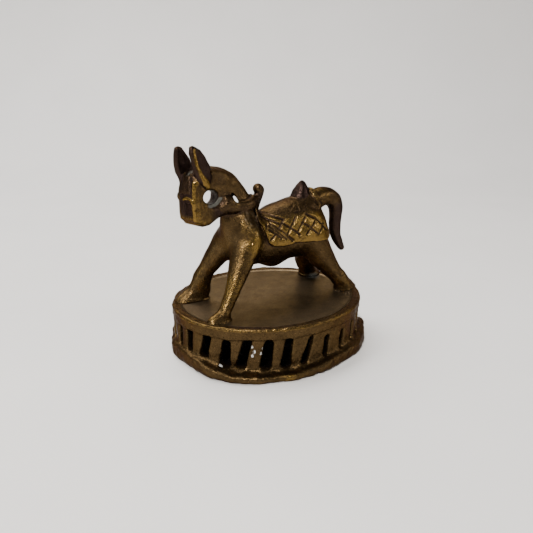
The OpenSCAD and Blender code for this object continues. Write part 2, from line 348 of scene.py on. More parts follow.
# Rods are rows of [x, y, z, radius]. For a mirrored pair, y is the distance out from the middle.
TORSO = [[-11.0, 0, 27.0, 9.2], [-7.0, 0, 25.4, 9.7], [-2.3, 0, 25.1, 10.3], [3.5, 0, 26.2, 11.3],
         [10.0, 0, 27.3, 12.0], [14.0, 0, 27.7, 11.9], [16.6, 0, 27.0, 10.7]]
NECK = [[-11.6, 0, 24.0, 7.8], [-12.6, 0, 28.5, 7.8], [-13.9, 0, 33.0, 7.5], [-14.3, 0, 37.0, 6.7],
        [-14.2, 0, 41.8, 5.2], [-16.0, 0, 45.8, 4.5], [-19.2, 0, 49.2, 4.7], [-23.4, 0, 50.9, 5.2],
        [-27.5, 0, 51.0, 4.9]]
LEGS = {
    "foreleg_left": [
        [-12.6, -4.8, 28.6, 5.2], [-14.0, -5.8, 25.0, 5.5], [-16.4, -7.0, 20.6, 4.9],
        [-19.2, -8.6, 16.4, 4.1], [-21.6, -10.1, 12.8, 3.4], [-23.5, -11.1, 9.6, 2.95],
        [-25.6, -12.0, 6.4, 2.65], [-27.6, -12.8, 3.6, 2.6], [-29.4, -13.4, 1.6, 2.8],
        [-33.4, -14.0, 0.8, 1.9]],
    "foreleg_right": [
        [-13.4, 4.8, 28.8, 5.2], [-16.2, 5.8, 25.4, 5.5], [-18.6, 7.2, 21.2, 4.9],
        [-21.2, 9.0, 16.8, 4.2], [-23.4, 10.6, 12.8, 3.6], [-25.2, 11.8, 9.4, 3.1],
        [-26.9, 12.6, 6.4, 2.85], [-28.6, 13.2, 3.6, 2.8], [-30.4, 13.4, 1.6, 2.8],
        [-34.2, 13.0, 0.8, 1.8]],
    "hindleg_left": [
        [16.4, -3.6, 26.5, 7.3], [19.6, -4.7, 21.6, 6.8], [22.4, -6.0, 17.0, 5.8],
        [25.0, -7.2, 13.0, 4.8], [27.4, -8.2, 9.6, 4.1], [29.7, -9.2, 6.6, 3.5],
        [31.7, -10.0, 3.8, 3.3], [33.3, -10.4, 1.7, 3.2], [36.0, -10.6, 0.9, 2.2]],
    "hindleg_right": [
        [17.0, 3.6, 26.5, 7.0], [21.2, 5.0, 21.6, 6.2], [24.2, 7.0, 17.0, 5.5],
        [26.7, 9.0, 13.0, 5.0], [28.2, 10.9, 9.4, 4.7], [29.8, 12.4, 6.4, 4.2],
        [31.2, 13.5, 3.8, 3.8], [32.6, 14.1, 1.7, 3.6], [35.0, 14.0, 0.9, 2.6]],
}
# The spread of a foot away from its leg's own line.
HEELS = {
    "foreleg_right": [
        [-24.8, 11.8, 9.4, 3.0], [-24.6, 12.2, 5.8, 3.2], [-25.0, 12.5, 2.8, 3.3],
        [-28.0, 13.2, 1.6, 3.1], [-31.4, 13.4, 0.9, 2.6]],
    "hindleg_left": [
        [31.2, -9.6, 5.0, 2.6], [34.4, -9.2, 2.4, 2.4], [37.4, -8.4, 0.8, 1.8]],
    "hindleg_right": [
        [28.4, 11.4, 9.4, 4.0], [30.8, 12.7, 4.6, 3.5], [32.4, 13.2, 1.6, 3.1]],
}
TAIL = [[17.6, 0, 35.0, 5.2], [20.8, 0, 37.0, 5.0], [24.2, 0, 38.9, 4.7], [27.8, 0, 39.9, 4.3],
        [31.2, 0, 39.5, 4.0], [34.2, 0, 37.6, 3.7], [35.9, 0, 34.4, 3.35], [36.1, 0, 30.6, 3.0],
        [35.7, 0, 26.6, 2.8], [36.0, 0, 23.2, 2.6], [37.4, 0, 19.8, 2.25], [39.1, 0, 16.8, 1.8],
        [40.3, 0, 15.1, 1.4]]
HEAD = [[-37.2, 53.6], [-38.0, 48.5], [-38.1, 42.5], [-37.8, 38.3], [-36.4, 36.1], [-33.8, 35.2],
        [-30.6, 35.6], [-26.0, 37.3], [-21.5, 38.4], [-18.6, 39.6], [-17.8, 41.4], [-19.6, 44.4],
        [-21.5, 48.5], [-20.5, 53.0], [-25.8, 55.8], [-30.0, 56.2], [-34.2, 55.6]]
# The gap between the reins and the underside of the neck, where it comes out on the near side.
SLIT = (-18.2, -5.0, 44.6)
CLOTH = [[-8.4, 46.0], [-8.6, 36.4], [-9.0, 34.7], [-7.4, 32.9], [-6.8, 30.7], [-5.8, 27.8],
         [-4.7, 25.4], [-2.7, 24.1], [1.0, 23.8], [4.8, 24.0], [6.3, 24.6], [13.3, 24.3],
         [22.3, 23.9], [24.8, 24.9], [26.0, 27.6], [25.2, 31.0], [22.8, 36.0], [21.4, 40.0],
         [20.5, 46.0]]
# The pattern cut in the cloth, seen from the side.
CLOTH_CUTS = [
    [[-6.2, 36.2], [-3.7, 34.5], [0.3, 32.7]], [[-3.3, 36.8], [-0.6, 35.4], [2.3, 34.1]],
    [[-3.4, 33.3], [0.6, 29.9], [5.4, 25.6]], [[-4.4, 31.0], [0.3, 27.2]],
    [[-3.9, 32.2], [-0.6, 29.3], [2.4, 26.6]], [[1.5, 33.1], [7.5, 28.6], [8.4, 27.6]],
    [[10.2, 32.6], [13.4, 30.4], [16.6, 27.4]], [[12.6, 35.6], [17.6, 32.8], [22.6, 28.0]],
    [[7.6, 34.8], [5.2, 31.8], [2.9, 28.6]],
    [[11.9, 34.2], [7.6, 29.0]], [[16.2, 32.2], [11.6, 27.8]], [[21.0, 31.0], [17.6, 27.4]],
    [[2.4, 34.2], [-0.3, 31.2]], [[-2.4, 28.7], [-4.4, 26.9]], [[-4.6, 32.9], [-6.0, 31.2]],
    [[5.6, 37.0], [8.7, 38.9]], [[7.6, 36.5], [10.2, 36.9], [10.0, 38.0]], [[11.9, 36.7], [14.4, 38.3]],
]
GROOVE_END, GROOVE_DEEP = 36.5, 34.0
# The fold of metal that runs down from the near girth tab into the foreleg.
SHOULDER = [[-15.0, -5.4, 36.4, 1.6], [-14.6, -6.9, 32.6, 2.3], [-12.4, -8.6, 28.4, 2.6],
            [-13.6, -8.6, 24.4, 2.2]]
GIRTH_TAB = [[-15.2, 38.6], [-9.4, 38.6], [-9.2, 33.4], [-11.4, 30.2], [-13.8, 31.6]]
POMMEL = [[-8.2, 0, 38.6, 3.0], [-6.6, 0, 40.6, 2.5], [-5.2, 0, 42.4, 2.0], [-4.3, 0, 44.0, 1.9],
          [-4.1, 0, 45.4, 2.1], [-4.7, 0, 46.2, 2.1]]
REIN = [[-26.0, 3.2, 42.6, 3.4], [-22.0, 4.0, 42.3, 3.5], [-19.0, 4.6, 41.6, 3.0],
        [-16.6, 5.2, 41.0, 2.3], [-13.8, 5.4, 41.0, 2.2], [-11.0, 4.6, 41.4, 2.3],
        [-8.2, 2.4, 41.6, 2.4]]
CRUPPER_X, CRUPPER_LEAN, CRUPPER_Z = 22.6, 0.35, 38
CANTLE_FOOT = [[9.4, 0, 39.6], [18.0, -7.4, 34.0], [23.6, 0, 39.8], [18.0, 7.4, 34.0]]
CANTLE_TOP = [17.0, 0, 48.6]
CANTLE_KNOB = [[16.0, 0, 41.2, 3.9], [16.7, 0, 44.3, 2.6], [17.0, 0, 45.8, 1.6]]

# In the head's own coordinates: along it, out from its middle, and up.
EAR_RIDGE = [[-37.0, 3.9, 63.2, 0.55], [-36.9, 4.4, 60.6, 0.5], [-36.3, 4.9, 57.4, 0.5],
             [-35.0, 5.2, 54.4, 0.65], [-33.2, 5.2, 51.8, 1.1], [-31.6, 4.9, 49.8, 0.8]]
EARS = {
    "left": [
        [-36.8, 65.0], [-35.2, 64.4], [-33.4, 63.4], [-31.2, 60.6], [-29.3, 57.8], [-28.8, 55.0],
        [-29.8, 52.0], [-30.9, 49.8], [-31.9, 48.9], [-33.8, 50.0], [-35.9, 52.4], [-37.4, 56.1],
        [-38.2, 59.1], [-38.9, 62.2], [-38.3, 64.6]],
    "right": [
        [-38.0, 64.5], [-36.4, 64.0], [-34.6, 62.2], [-33.0, 59.7], [-32.0, 56.5], [-32.2, 52.6],
        [-34.4, 50.6], [-37.0, 51.6], [-38.9, 54.8], [-39.7, 58.6], [-39.9, 61.6], [-39.3, 64.0]],
}
BROW_STRAP = [[-36.8, 1.6, 54.8, 0.35], [-36.5, 3.2, 53.2, 0.35], [-35.1, 3.8, 51.4, 0.3],
              [-33.4, 3.8, 49.7, 0.3]]
EYE_U, EYE_Z = -28.0, 45.2
EYE_HALF_LONG, EYE_HALF_HIGH = 3.5, 2.6
DISH, DISH_SIZE = (-27.6, 5.7, 44.4), (3.9, 2.6, 3.3)
BOSS, BOSS_SIZE = (-37.0, 4.7, 46.2), (1.3, 1.1, 1.6)
FACE_LOW, FACE_HIGH = (-41, -12, 34), (-30, 6, 58)


def to_head(x, y):
    """Row coordinates turned into the head's own, about the poll."""
    c, s = math.cos(HEAD_TURN), math.sin(HEAD_TURN)
    return POLL_X + c * (x - POLL_X) + s * y, c * y - s * (x - POLL_X) - FACE_Y


def from_head(p):
    """A point in the head's own coordinates, turned back into row coordinates."""
    c, s = math.cos(HEAD_TURN), math.sin(HEAD_TURN)
    u, v = p[0] - POLL_X, p[1] + FACE_Y
    return [POLL_X + c * u - s * v, s * u + c * v] + list(p[2:])


HEAD_LOW, HEAD_HIGH = (-41.0, -13.0, 33.0), (-14.0, 9.0, 58.0)


def in_head(field, low=HEAD_LOW, high=HEAD_HIGH):
    """A field given in the head's own coordinates."""
    def turned(x, y, z):
        u, v = to_head(x, y)
        return field(u, v, z)
    return low, high, turned


def head_field(u, v, z):
    hollow = np.exp(-((u + 28.6) / 4.6) ** 2 - ((z - 46) / 4.4) ** 2)
    half = 4.9 - 1.5 * hollow - 1.1 * step_between(48, 57, z) - 0.7 * step_between(-30, -20, u)
    return smooth_max(outline(u, z, HEAD), np.abs(v) - half, 2.2)


def eye_tunnel(u, v, z):
    """The hole through the head at the eye, running a little down and back to the far side."""
    across = (u - EYE_U - 0.42 * v) / EYE_HALF_LONG
    up = (z - EYE_Z + 0.2 * v) / EYE_HALF_HIGH
    return (np.sqrt(across ** 2 + up ** 2) - 1) * 3.0


def slit(x, y, z):
    """The hole between the reins and the neck."""
    w = z - SLIT[2] + 0.36 * (y - SLIT[1])
    u = x - SLIT[0] - 0.66 * (y - SLIT[1]) + 0.62 * w
    return (np.sqrt((u / 0.75) ** 2 + (w / 2.3) ** 2) - 1) * 0.75


def leg_shape(points):
    """A leg that stands on the plate, with the metal running out a little round its foot."""
    low, high, rod = strand(points)

    def field(x, y, z):
        d = rod(x, y, z)
        apron = np.maximum(smooth_min(d, z + 0.12, 2.4), d - 1.1)
        return np.maximum(apron, -0.35 - z)
    return low, high, field


def pyramid(corners, apex, soft):
    """A pyramid on corners listed round its foot, with its edges softened."""
    p = np.array(corners, float)
    top = np.array(apex, float)
    centre = (p.mean(0) + top) / 2
    planes = []
    for a, b in zip(p, np.roll(p, -1, 0)):
        n = np.cross(b - a, top - a)
        n /= np.linalg.norm(n)
        n = n if n @ (centre - a) < 0 else -n
        planes.append((n, n @ a))

    def field(x, y, z):
        d = None
        for n, k in planes:
            gap = n[0] * x + n[1] * y + n[2] * z - k
            d = gap if d is None else smooth_max(d, gap, soft)
        return d
    low = np.minimum(p.min(0), top)
    high = np.maximum(p.max(0), top)
    return low, high, field


def incised(cast, low, high, lines, place, radius, border=None):
    """Cuts grooves along lines drawn in (u, v) = place(x, y, z), on the surface that is there.
    Border gives the share of the radius that the groove has at each point.
    """
    where, (x, y, z) = cast.block(low, high, 0)
    surface = cast.total[where].copy()
    u, v = place(x, y, z)
    gap = np.full(surface.shape, FAR, np.float32)
    for a, b in lines:
        gap = np.minimum(gap, line_gap(u, v, a, b))
    fade = border(x, y, z) if border is not None else 1.0
    groove = np.hypot(gap, surface) - radius * fade
    cast.total[where] = smooth_max(surface, -groove, 0.2).astype(np.float32)


def add_body(cast):
    cast.add("horse_torso", strand(TORSO, (1, 0.84, 1)))
    cast.add("horse_torso", ((-5, -5, 12), (7, 5, 22), lambda x, y, z:
                             egg(x, y, z, (2.4, 0, 17.4), (5.0, 4.2, 4.4))), 3.0)
    cast.add("horse_neck", strand(NECK, (1, 0.88, 1)), 3.0)
    for name, points in LEGS.items():
        cast.add(name, leg_shape(points), 3.2)
    cast.add("foreleg_left", strand(SHOULDER), 2.6)
    for name, points in HEELS.items():
        cast.add(name, leg_shape(points), 2.6)
    cast.add("horse_tail", strand(TAIL, (1, 0.92, 1)), 2.2)
    cast.add("horse_head", in_head(head_field), 1.6)


def add_saddle_front(cast):
    """The cloth, the girth tabs and the pommel."""
    cast.skin("saddle_cloth", (-9, -13, 23), (28, 13, 42),
              lambda x, y, z: outline(x, z, CLOTH), 1.2)
    for hand, side in SIDES.items():
        def tab_border(x, y, z, side=side):
            return np.maximum(outline(x, z, GIRTH_TAB) - 0.4, -y * side)
        cast.skin("girth_tab_" + hand, (-16, -11, 29), (-8, 11, 40), tab_border, 0.35)
    cast.add("saddle_pommel", strand(POMMEL), 1.2)


def add_reins(cast):
    for hand, side in SIDES.items():
        run = [[x, y * side, z, r] for x, y, z, r in REIN]
        cast.add("rein_" + hand, strand(run, (1, 0.7, 1)), 1.0)


def add_saddle_back(cast):
    """The crupper strap over the root of the tail, and the cantle."""
    def strap_border(x, y, z):
        along = x - CRUPPER_X + CRUPPER_LEAN * (z - CRUPPER_Z)
        return np.maximum(np.abs(along) - 1.6, np.abs(y) - 6.0)
    cast.skin("crupper_strap", (17, -8, 32), (27, 8, 44), strap_border, 0.6)
    cast.add("saddle_cantle", pyramid(CANTLE_FOOT, CANTLE_TOP, 1.2), 0.8)
    cast.add("saddle_cantle", strand(CANTLE_KNOB), 1.0)


def add_ear(cast, hand, side):
    """A leaf, scooped out in front, with a raised ridge and a pit behind its root."""
    def leaf(u, v, z):
        middle = 3.9 - 0.09 * (z - 55) - 0.10 * (u + 33)
        thick = 1.15 + 0.5 * step_between(60, 50, z)
        return smooth_max(outline(u, z, EARS[hand]) + 0.1, np.abs(v * side - middle) - thick, 1.6)

    def scoop(u, v, z):
        return egg(u, v * side, z, (-36.4, 2.4, 59.0), (1.9, 0.9, 3.8))

    ridge = [from_head([u, side * v, z, r]) for u, v, z, r in EAR_RIDGE]
    pit = np.array(from_head([-29.6, side * 4.2, 54.9]))
    cast.add("ear_" + hand, in_head(leaf, (-44, -13, 44), (-22, 9, 65.5)), 0.8)
    cast.carve(in_head(scoop, (-42, -13, 50), (-28, 9, 66)), 0.6)
    cast.add("ear_" + hand, strand(ridge, (1, 0.8, 1)), 0.5)
    cast.carve((pit - 1.5, pit + 1.5, lambda x, y, z: egg(x, y, z, pit, (0.8, 1.4, 0.8))), 0.4)


def add_bridle(cast):
    def sheet(name, border, thickness, blend):
        low, high, turned = in_head(border, FACE_LOW, FACE_HIGH)
        cast.skin(name, low, high, turned, thickness, blend)

    def nose_patch(u, v, z):
        sides = np.maximum(np.abs(v + 1.1) - 2.6, np.abs(z - 42.0) - 2.3)
        return np.maximum(sides, np.abs(u + 38.1) - 0.7)

    def noseband(u, v, z):
        arch = np.abs(z - 46.2 + 0.12 * (v + 0.9) ** 2) - 0.5
        return np.maximum(np.maximum(np.abs(v + 0.9) - 2.9, arch), u + 34.5)

    def browband(u, v, z):
        sides = np.abs(v) - 2.9 * step_between(62, 46, z) - 0.2
        return np.maximum(np.maximum(sides, 47.4 - z), u + 33.0)

    # The dark patch under the noseband is sunk into the face.
    cast.carve(in_head(nose_patch, FACE_LOW, FACE_HIGH), 0.5)
    sheet("bridle_noseband", noseband, 0.45, 0.4)
    for hand, side in SIDES.items():
        def cheek(u, v, z, side=side):
            strip = np.maximum(np.abs(v * side - 4.1) - 0.5, np.abs(z - 45.0) - 7.2)
            return np.maximum(strip, u + 35.6)
        sheet("bridle_cheek_" + hand, cheek, 0.22, 0.8)
    sheet("bridle_browband", browband, 0.55, 0.5)
    for side in SIDES.values():
        strap = [from_head([u, side * v, z, r]) for u, v, z, r in BROW_STRAP]
        cast.add("bridle_browband", strand(strap), 0.3)
    boss = np.array(from_head(BOSS))
    cast.add("bit_boss_right", (boss - 1.5, boss + 1.5,
                                lambda x, y, z: egg(x, y, z, boss, BOSS_SIZE)), 0.4)


def open_holes(cast):
    """The gap under the neck, and the eye hole with its dished rims."""
    cast.carve(((-23, -9, 36), (-4, 8, 50), slit), 0.3)
    cast.carve(in_head(eye_tunnel), 0.8)
    for side in SIDES.values():
        cast.carve(in_head(lambda u, v, z, side=side: egg(u, v * side, z, DISH, DISH_SIZE)), 0.8)


def cut_patterns(cast):
    """The lines on the cloth and the chevrons on the crupper strap."""
    cuts = [pair for run in CLOTH_CUTS for pair in zip(run[:-1], run[1:])]
    incised(cast, (-9, -13, 23), (27, 13, 40), cuts, lambda x, y, z: (x, z), 0.62,
            lambda x, y, z: 0.35 + 0.65 * step_between(GROOVE_END, GROOVE_DEEP, z))
    starts = (20.6, 22.0, 23.4)
    chevrons = [((k, -2.6), (k + 1.1, -0.9)) for k in starts]
    chevrons += [((k + 1.1, -0.9), (k, 0.8)) for k in starts]
    incised(cast, (19, -9, 34), (27, 9, 43), chevrons,
            lambda x, y, z: (x + CRUPPER_LEAN * (z - CRUPPER_Z), (z - 38.4) + 0 * x), 0.6)


def make_horse():
    cast = Casting((-43, -19, -1.2), (45, 19.5, 67))
    add_body(cast)
    add_saddle_front(cast)
    add_reins(cast)
    add_saddle_back(cast)
    for hand, side in SIDES.items():
        add_ear(cast, hand, side)
    add_bridle(cast)
    open_holes(cast)
    cast.lift(lattice(cast.axes, 4.5, 3) * 0.16 + lattice(cast.axes, 1.9, 4) * 0.07)
    cut_patterns(cast)
    return cast


# ---- base, in the row frame ------------------------------------------------------------------

BAND_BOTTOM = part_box("base_rim_band")[0].z / MM
FOOT_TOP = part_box("base_foot_ring")[1].z / MM
PITCH = 360 / POSTS
WALL = 2.8
# Each slot seen from the front, by its number round the wall: degrees off its even place, how far
# its foot leans to the right, its top and foot below the plate, and its widths at top and foot.
SLOTS = {
    15: (-0.6, 0.0, 4.6, 12.8, 3.2, 3.4), 16: (-1.2, -0.5, 3.9, 13.0, 3.7, 3.2),
    17: (1.0, -2.2, 4.0, 13.2, 3.8, 4.2), 18: (1.6, -1.5, 4.1, 16.4, 3.3, 4.9),
    19: (1.6, -3.3, 3.4, 15.8, 3.3, 3.9), 20: (1.1, -1.7, 4.1, 16.2, 3.4, 4.7),
    21: (0.3, -1.8, 3.3, 15.8, 3.3, 4.2), 22: (1.6, -3.8, 4.2, 16.0, 2.0, 3.4),
    23: (0.6, -1.9, 6.0, 16.0, 2.6, 2.7), 24: (1.4, -1.2, 6.2, 15.4, 2.8, 2.3),
    25: (1.0, -1.0, 5.6, 14.8, 2.8, 2.4), 14: (-0.8, 0.0, 5.0, 12.6, 3.0, 3.2),
}
# From this slot on, the corners are rounder.
ROUND_FROM = 18
# Marks on the plate beside the near hind foot.
SCRATCHES = [((28.2, -11.2), (29.2, -19.2)), ((30.3, -12.0), (31.0, -17.4)),
             ((28.0, -13.4), (30.8, -12.8)), ((28.8, -17.4), (31.2, -16.6))]
# The foot's spread past the wall and the height of its lip, by the angle round the wall.
FLARE = [[0, 2.4], [60, 2.0], [130, 1.6], [172, 1.1], [190, 1.5], [203, 2.7], [214, 4.6], [222, 5.4],
         [232, 5.0], [241, 3.7], [246, 3.7], [252, 4.9], [262, 3.5], [285, 2.7], [305, 2.8], [330, 2.8]]
LIP = [[0, 5.6], [60, 5.0], [130, 5.4], [172, 6.0], [190, 6.0], [205, 5.6], [216, 3.8], [228, 3.0],
       [238, 3.2], [248, 2.6], [258, 2.8], [266, 4.0], [285, 4.6], [310, 5.2]]


def oval_gap(x, y, a=PLATE_A, b=PLATE_B):
    """Distance outside the oval of the plate."""
    r = np.sqrt((x / a) ** 2 + (y / b) ** 2)
    slope = np.hypot(x / a ** 2, y / b ** 2) / np.maximum(r, 1e-3)
    return (r - 1) / np.maximum(slope, 1e-3)


def turn_of(x, y):
    """Angle round the wall, in degrees, spaced evenly for the posts."""
    return np.degrees(np.arctan2(y / PLATE_B, x / PLATE_A)) % 360


def around(turn, centre, spread):
    """1 at an angle round the wall, falling off on both sides."""
    away = (turn - centre + 180) % 360 - 180
    return np.exp(-(away / spread) ** 2)


def arc_from(turn, centre):
    """Length round the wall from one angle to another, in mm."""
    away = (turn - centre + 180) % 360 - 180
    c = math.radians(centre)
    per_degree = math.radians(1) * math.hypot(PLATE_A * math.sin(c), PLATE_B * math.cos(c))
    return away * per_degree


def by_turn(turn, rows):
    """A value that changes smoothly round the wall through [angle, value] rows."""
    at, value = np.array(rows, float).T
    smooth = np.interp(np.arange(360), at, value, period=360)
    for _ in range(12):
        smooth = (np.roll(smooth, 2) + np.roll(smooth, -2) + 2 * smooth) / 4
    return np.interp(turn, np.arange(360), smooth, period=360)


def slot_shape(k, rng):
    """One opening of the wall. Those that don't show get small differences of their own."""
    off, lean, top, bottom, wide_top, wide_foot = SLOTS.get(k, (
        rng.uniform(-1, 1), rng.uniform(-2.4, 0.4), rng.uniform(3.6, 5.0), rng.uniform(13.0, 15.2),
        rng.uniform(2.8, 3.6), rng.uniform(3.0, 4.4)))
    c = math.radians(k * PITCH + off)
    centre = np.array([PLATE_A * math.cos(c), PLATE_B * math.sin(c), PLATE - 9])
    corner = 1.0 if k < ROUND_FROM else 1.8

    def field(x, y, z):
        turn, gap = turn_of(x, y), oval_gap(x, y)
        share = np.clip((PLATE - top - z) / (bottom - top), 0, 1)
        side = arc_from(turn, k * PITCH + off) - lean * share
        half = (wide_top + (wide_foot - wide_top) * share + 0.7 * step_between(0.8, 1.0, share)) / 2
        up = np.abs(z - PLATE + (top + bottom) / 2) - (bottom - top) / 2
        d = smooth_max(np.abs(side) - half, up, corner)
        return np.maximum(d, np.maximum(gap - 6, -gap - WALL - 1.5))
    return centre - 10, centre + 10, field


def add_foot(cast, gap, turn, z):
    """The foot is a lip that runs back to the wall, with its lower edge rounded off unevenly."""
    waves = 0.25 * np.sin(np.radians(turn * 11)) + 0.12 * np.sin(np.radians(turn * 23))
    flare = by_turn(turn, FLARE) + waves
    lip = by_turn(turn, LIP)
    tuck = 0.5 + 1.0 * around(turn, 190, 25)
    outside = smooth_max(gap - flare, np.abs(z - lip / 2) - lip / 2, 1.3)
    outside = smooth_max(outside, gap - flare + (tuck - z) * 0.9, 1.0)
    foot = np.maximum(outside, -gap - WALL - 0.6)
    cast.add("base_foot_ring", cast.everywhere(np.maximum(foot, FLOOR - z)), 2.2)
    half = (FOOT_TOP - 2.4) / 2
    floor = np.maximum(gap + WALL - 0.4, np.abs(z - half) - half)
    cast.add("base_floor_plate", cast.everywhere(floor), 0.6)


def add_rim(cast, gap, wobble, z):
    """The band and bead round the plate, and the plate, which is a little lower."""
    rim_top = RIM - 0.1 + 0.1 * wobble
    band = smooth_max(gap + 0.3 + 0.25 * wobble, z - rim_top, 0.9)
    band = np.maximum(np.maximum(band, -gap - WALL), BAND_BOTTOM - z)
    cast.add("base_rim_band", cast.everywhere(band), 1.0)
    bead = np.hypot(gap + 0.5 + 0.25 * wobble, z - rim_top + 0.35) - 0.5
    cast.add("base_rim_band", cast.everywhere(bead), 0.6)
    plate = np.maximum(gap + 1.0, np.abs(z - PLATE + 1.2) - 1.2)
    cast.add("base_top_plate", cast.everywhere(plate), 1.6)


def label_post(cast, k):
    """Names the stretch of wall between two slots as a post."""
    middle = (k + 0.5) * PITCH
    c = math.radians(middle)
    centre = np.array([PLATE_A * math.cos(c), PLATE_B * math.sin(c), PLATE / 2])
    cast.label(f"base_post_{k + 1:02d}", (
        centre - (7, 7, 7.5), centre + (7, 7, 7.5),
        lambda x, y, z: np.maximum(
            np.abs(arc_from(turn_of(x, y), middle)) - 4.6,
            np.abs(z - (BAND_BOTTOM + FOOT_TOP) / 2) - (BAND_BOTTOM - FOOT_TOP) / 2)))


def make_base():
    cast = Casting((-47, -43, -1), (47, 43, 21.5))
    rng = np.random.default_rng(11)
    x, y, z = cast.block(cast.low, cast.low + cast.step * np.array(cast.total.shape))[1]
    gap = oval_gap(x, y)
    turn = turn_of(x, y)
    wobble = 0.25 * np.sin(np.radians(turn * 3 + 40)) + 0.15 * np.sin(np.radians(turn * 8))
    ring = np.maximum(gap + 0.35 + 0.25 * wobble, -gap - WALL)
    cast.fill(cast.everywhere(np.maximum(ring, np.abs(z - PLATE / 2) - PLATE / 2 + 0.5)))
    for k in range(POSTS):
        cast.carve(slot_shape(k, rng), 0.8)
    add_foot(cast, gap, turn, z)
    add_rim(cast, gap, wobble, z)
    for k in range(POSTS):
        label_post(cast, k)
    smoother_plate = 1 - 0.8 * (gap < -1.6) * (z > PLATE - 1.5)
    rougher_foot = 1 + 0.9 * step_between(7.0, 4.0, z)
    lumps = lattice(cast.axes, 5.0, 5) * 0.22 + lattice(cast.axes, 2.1, 6) * 0.12
    cast.lift(lumps * (smoother_plate * rougher_foot))
    cast.carve(cast.everywhere(z - FLOOR), 0.1)
    incised(cast, (25, -22, 18), (34, -8, 21), SCRATCHES, lambda x, y, z: (x, y), 0.6)
    return cast


# ---- looks -----------------------------------------------------------------------------------

class Shader:
    """Short names for building one node material."""

    def __init__(self, name):
        self.material = bpy.data.materials.new(name)
        self.material.use_nodes = True
        self.tree = self.material.node_tree
        self.main = self.tree.nodes["Principled BSDF"]
        self.place = self.node("ShaderNodeTexCoord").outputs["Object"]

    def node(self, kind, inputs=None, **settings):
        n = self.tree.nodes.new(kind)
        for key, value in settings.items():
            setattr(n, key, value)
        for key, value in (inputs or {}).items():
            self.put(value, n.inputs[key])
        return n

    def put(self, value, socket):
        if isinstance(value, bpy.types.NodeSocket):
            self.tree.links.new(value, socket)
        else:
            socket.default_value = value

    def math(self, operation, a, b=0.0, clamp=False):
        return self.node("ShaderNodeMath", {0: a, 1: b}, operation=operation,
                         use_clamp=clamp).outputs[0]

    def noise(self, size, detail=3.0, roughness=0.55):
        """Noise with lumps about size mm across."""
        return self.node("ShaderNodeTexNoise", {
            "Vector": self.place, "Scale": 1 / (size * MM), "Detail": detail,
            "Roughness": roughness}).outputs["Fac"]

    def ramp(self, value, low, high, to_low=0.0, to_high=1.0):
        return self.node("ShaderNodeMapRange", {
            "Value": value, "From Min": low, "From Max": high, "To Min": to_low, "To Max": to_high},
            interpolation_type="SMOOTHSTEP").outputs[0]

    def mix(self, share, a, b):
        n = self.node("ShaderNodeMix", data_type="RGBA")
        self.put(share, n.inputs["Factor"])
        # The colour sockets come after those for numbers and vectors, which share their names.
        self.put(a, n.inputs[6])
        self.put(b, n.inputs[7])
        return n.outputs[2]


def cast_bronze(name, brown, gold, dark, residue, rough=0.25, pits=1.0):
    """Aged cast bronze: worn golden where it is handled, dark where it isn't, and darker again where the
    tone attribute paints in shade.
    """
    s = Shader(name)
    layer = s.node("ShaderNodeAttribute", attribute_name="tone")
    tone = s.node("ShaderNodeSeparateColor", {"Color": layer.outputs["Color"]})
    worn, shade, grey = tone.outputs[0], tone.outputs[1], tone.outputs[2]
    patches = s.noise(5.0, 4.0, 0.6)
    mottle = s.noise(1.1, 5.0, 0.65)
    grain = s.noise(0.35, 3.0, 0.6)
    uneven = s.math("ADD", s.math("MULTIPLY", s.math("SUBTRACT", patches, 0.5), 0.55),
                    s.math("MULTIPLY", s.math("SUBTRACT", mottle, 0.5), 0.9))
    worn = s.ramp(s.math("ADD", worn, uneven), 0.28, 0.95)
    shade = s.ramp(s.math("SUBTRACT", shade, s.math("MULTIPLY", uneven, 0.6)), 0.15, 0.85)
    grey = s.ramp(s.math("ADD", grey, s.math("MULTIPLY", s.math("SUBTRACT", mottle, 0.5), 1.5)), 0.2, 0.85)
    filler = s.ramp(s.math("ADD", layer.outputs["Alpha"],
                           s.math("MULTIPLY", s.math("SUBTRACT", grain, 0.5), 1.8)), 0.55, 0.7)
    deep = s.ramp(mottle, 0.34, 0.5, 0.75, 0.0)
    colour = s.mix(s.ramp(patches, 0.3, 0.7), (*brown, 1), (*[c * 1.35 for c in brown], 1))
    colour = s.mix(worn, colour, (*gold, 1))
    colour = s.mix(shade, colour, (*dark, 1))
    colour = s.mix(s.math("MULTIPLY", deep, 0.6), colour, (*[c * 0.45 for c in brown], 1))
    colour = s.mix(grey, colour, (*residue, 1))
    colour = s.mix(filler, colour, (*FILLER, 1))
    s.put(colour, s.main.inputs["Base Color"])
    metal = s.math("SUBTRACT", s.math("SUBTRACT", 0.92, s.math("MULTIPLY", grey, 0.7)), filler, True)
    s.put(metal, s.main.inputs["Metallic"])
    s.put((0.34, 0.32, 0.29, 1), s.main.inputs["Specular Tint"])
    roughness = s.ramp(grain, 0.3, 0.7, rough - 0.05, rough + 0.16)
    roughness = s.math("ADD", s.math("MULTIPLY", worn, -0.13), roughness)
    roughness = s.math("ADD", roughness, s.math("MULTIPLY", grey, 0.3))
    s.put(roughness, s.main.inputs["Roughness"])
    cells = s.node("ShaderNodeTexVoronoi", {"Vector": s.place, "Scale": 1 / (0.9 * MM)})
    pit = s.ramp(cells.outputs["Distance"], 0.0, 0.35)
    rare = s.ramp(s.noise(2.6, 2.0), 0.5, 0.66)
    pit = s.math("SUBTRACT", 1.0, s.math("MULTIPLY", s.math("SUBTRACT", 1.0, pit), rare))
    low = s.node("ShaderNodeBump", {"Strength": 0.6 * pits, "Distance": 0.4 * MM, "Height": mottle})
    mid = s.node("ShaderNodeBump", {"Strength": 0.8 * pits, "Distance": 0.3 * MM, "Height": pit,
                                    "Normal": low.outputs[0]})
    fine = s.node("ShaderNodeBump", {"Strength": 0.35 * pits, "Distance": 0.08 * MM, "Height": grain,
                                     "Normal": mid.outputs[0]})
    s.put(fine.outputs[0], s.main.inputs["Normal"])
    return s.material


